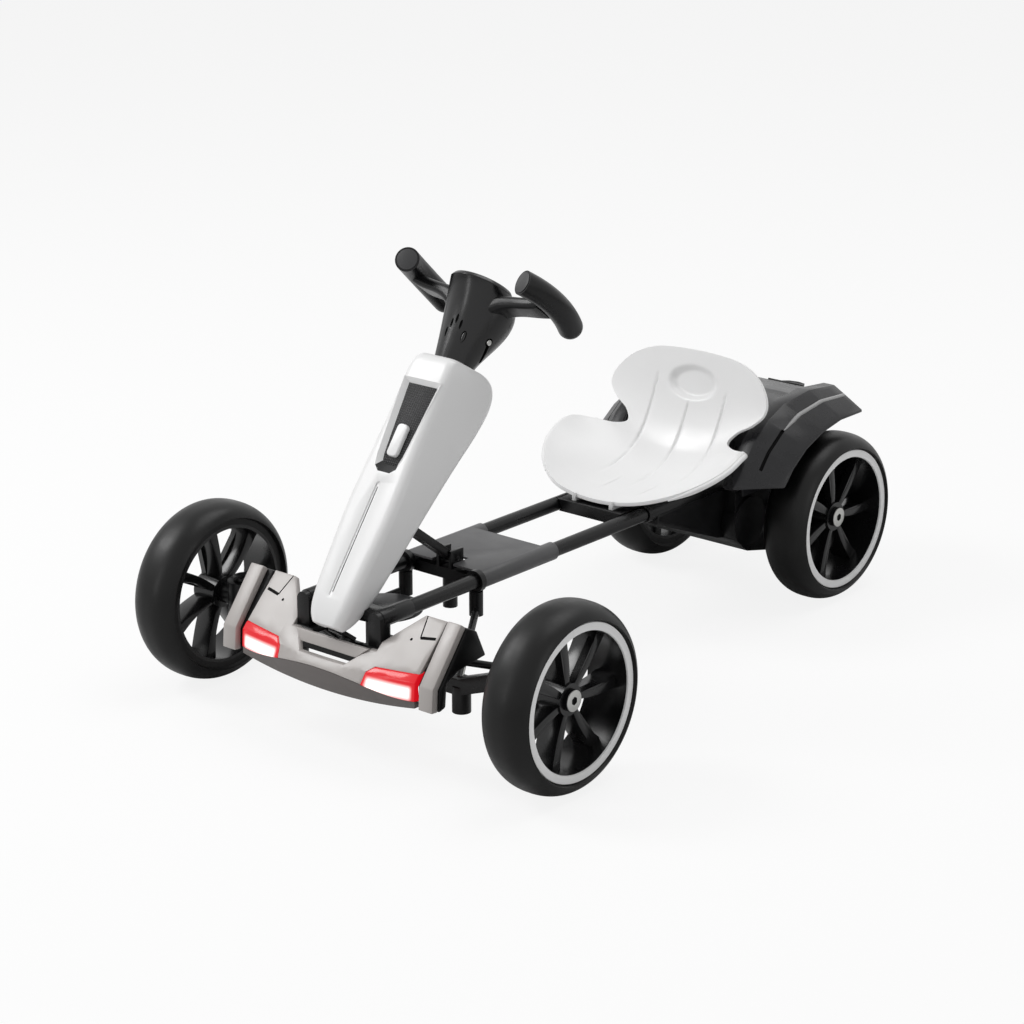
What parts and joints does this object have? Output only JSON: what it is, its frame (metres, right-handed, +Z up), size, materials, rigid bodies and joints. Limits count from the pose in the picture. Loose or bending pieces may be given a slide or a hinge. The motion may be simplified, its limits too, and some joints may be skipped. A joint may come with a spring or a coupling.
{
  "type": "kids electric go-kart",
  "caption": "Low kids electric go-kart with a telescoping tube frame, tilted steering column with two handles, moulded bucket seat, wedge bumper and mudguards over the rear wheels.",
  "frame": {"origin": "on the ground under the middle of the kart's outline", "axes": "+Z up, -Y the way the kart drives, +X the driver's left"},
  "size_m": [0.5514, 0.8702, 0.4811],
  "materials": {
    "tyre_rubber": "matte",
    "rim_plastic": "satin",
    "ring_white": "gloss",
    "tube_paint": "satin",
    "steel_black": "satin",
    "plate_grey": "satin",
    "black_plastic": "satin",
    "grip_rubber": "matte",
    "head_plastic": "satin",
    "shell_white": "gloss",
    "bumper_grey": "satin",
    "lip_grey": "satin",
    "lamp_red": "gloss",
    "light_bar_grey": "satin",
    "cover_black": "satin",
    "seat_white": "satin"
  },
  "bodies": {
    "front_frame": {"frame_tubes": "tube_paint", "tube_collars": "tube_paint", "foot_plate": "plate_grey", "front_beam": "steel_black", "stays": "steel_black", "column_shell": "shell_white", "column_tube": "steel_black", "column_base": "steel_black", "pivot_bracket": "steel_black", "column_brace": "tube_paint", "axle_cover": "cover_black", "bumper_panel": "bumper_grey", "front_lamps": "lamp_red", "bumper_lip": "lip_grey", "light_bar": "light_bar_grey", "bumper_mount": "black_plastic", "bumper_wings": "bumper_grey", "side_housings": "black_plastic", "recess_panel": "black_plastic", "power_pill": "shell_white"},
    "steering": {"steering_shaft": "steel_black", "steering_head": "head_plastic", "head_cap": "head_plastic", "handle_left": "grip_rubber", "handle_right": "grip_rubber"},
    "knuckle_left": {"knuckle_left": "black_plastic"},
    "knuckle_right": {"knuckle_right": "black_plastic"},
    "tie_rod": {"tie_rod": "steel_black"},
    "rear_module": {"slide_sleeves": "tube_paint", "cross_member": "steel_black", "battery_box": "black_plastic", "motor_housing": "black_plastic", "rear_axle": "steel_black", "rear_cover": "cover_black", "rear_pad": "black_plastic", "seat": "seat_white", "seat_ribs": "black_plastic"},
    "wheel_front_left": {"tyre_front_left": "tyre_rubber", "rim_front_left": "rim_plastic", "trim_ring_front_left": "ring_white"},
    "wheel_front_right": {"tyre_front_right": "tyre_rubber", "rim_front_right": "rim_plastic", "trim_ring_front_right": "ring_white"},
    "wheel_rear_left": {"tyre_rear_left": "tyre_rubber", "rim_rear_left": "rim_plastic", "trim_ring_rear_left": "ring_white"},
    "wheel_rear_right": {"tyre_rear_right": "tyre_rubber", "rim_rear_right": "rim_plastic", "trim_ring_rear_right": "ring_white"}
  },
  "joints": [
    {"name": "steering_turn", "type": "hinge", "parent": "front_frame", "child": "steering", "pos_m": [0, -0.16435, 0.45], "axis": [0, 0.592, 0.8059], "range_deg": [-30, 30]},
    {"name": "knuckle_left_turn", "type": "hinge", "parent": "front_frame", "child": "knuckle_left", "pos_m": [0.195, -0.33515, 0.1], "axis": [0, 0, 1], "range_deg": [-20, 20]},
    {"name": "knuckle_right_turn", "type": "hinge", "parent": "front_frame", "child": "knuckle_right", "pos_m": [-0.195, -0.33515, 0.1], "axis": [0, 0, 1], "range_deg": [-20, 20]},
    {"name": "tie_rod_shift", "type": "slide", "parent": "front_frame", "child": "tie_rod", "axis": [1, 0, 0], "range_m": [-0.0135, 0.0135]},
    {"name": "frame_length", "type": "slide", "parent": "front_frame", "child": "rear_module", "axis": [0, 1, 0], "range_m": [-0.06, 0.03]},
    {"name": "wheel_front_left_spin", "type": "hinge", "parent": "knuckle_left", "child": "wheel_front_left", "pos_m": [0.246, -0.33515, 0.1], "axis": [1, 0, 0], "continuous": true},
    {"name": "wheel_front_right_spin", "type": "hinge", "parent": "knuckle_right", "child": "wheel_front_right", "pos_m": [-0.246, -0.33515, 0.1], "axis": [1, 0, 0], "continuous": true},
    {"name": "wheel_rear_left_spin", "type": "hinge", "parent": "rear_module", "child": "wheel_rear_left", "pos_m": [0.1245, 0.31145, 0.1], "axis": [1, 0, 0], "continuous": true},
    {"name": "wheel_rear_right_spin", "type": "hinge", "parent": "rear_module", "child": "wheel_rear_right", "pos_m": [-0.1245, 0.31145, 0.1], "axis": [1, 0, 0], "continuous": true}
  ],
  "couplings": [
    {"joint": "knuckle_left_turn", "follows": "steering_turn", "ratio": 0.6579},
    {"joint": "knuckle_right_turn", "follows": "steering_turn", "ratio": 0.6579},
    {"joint": "tie_rod_shift", "follows": "steering_turn", "m_per_rad": -0.025}
  ]
}
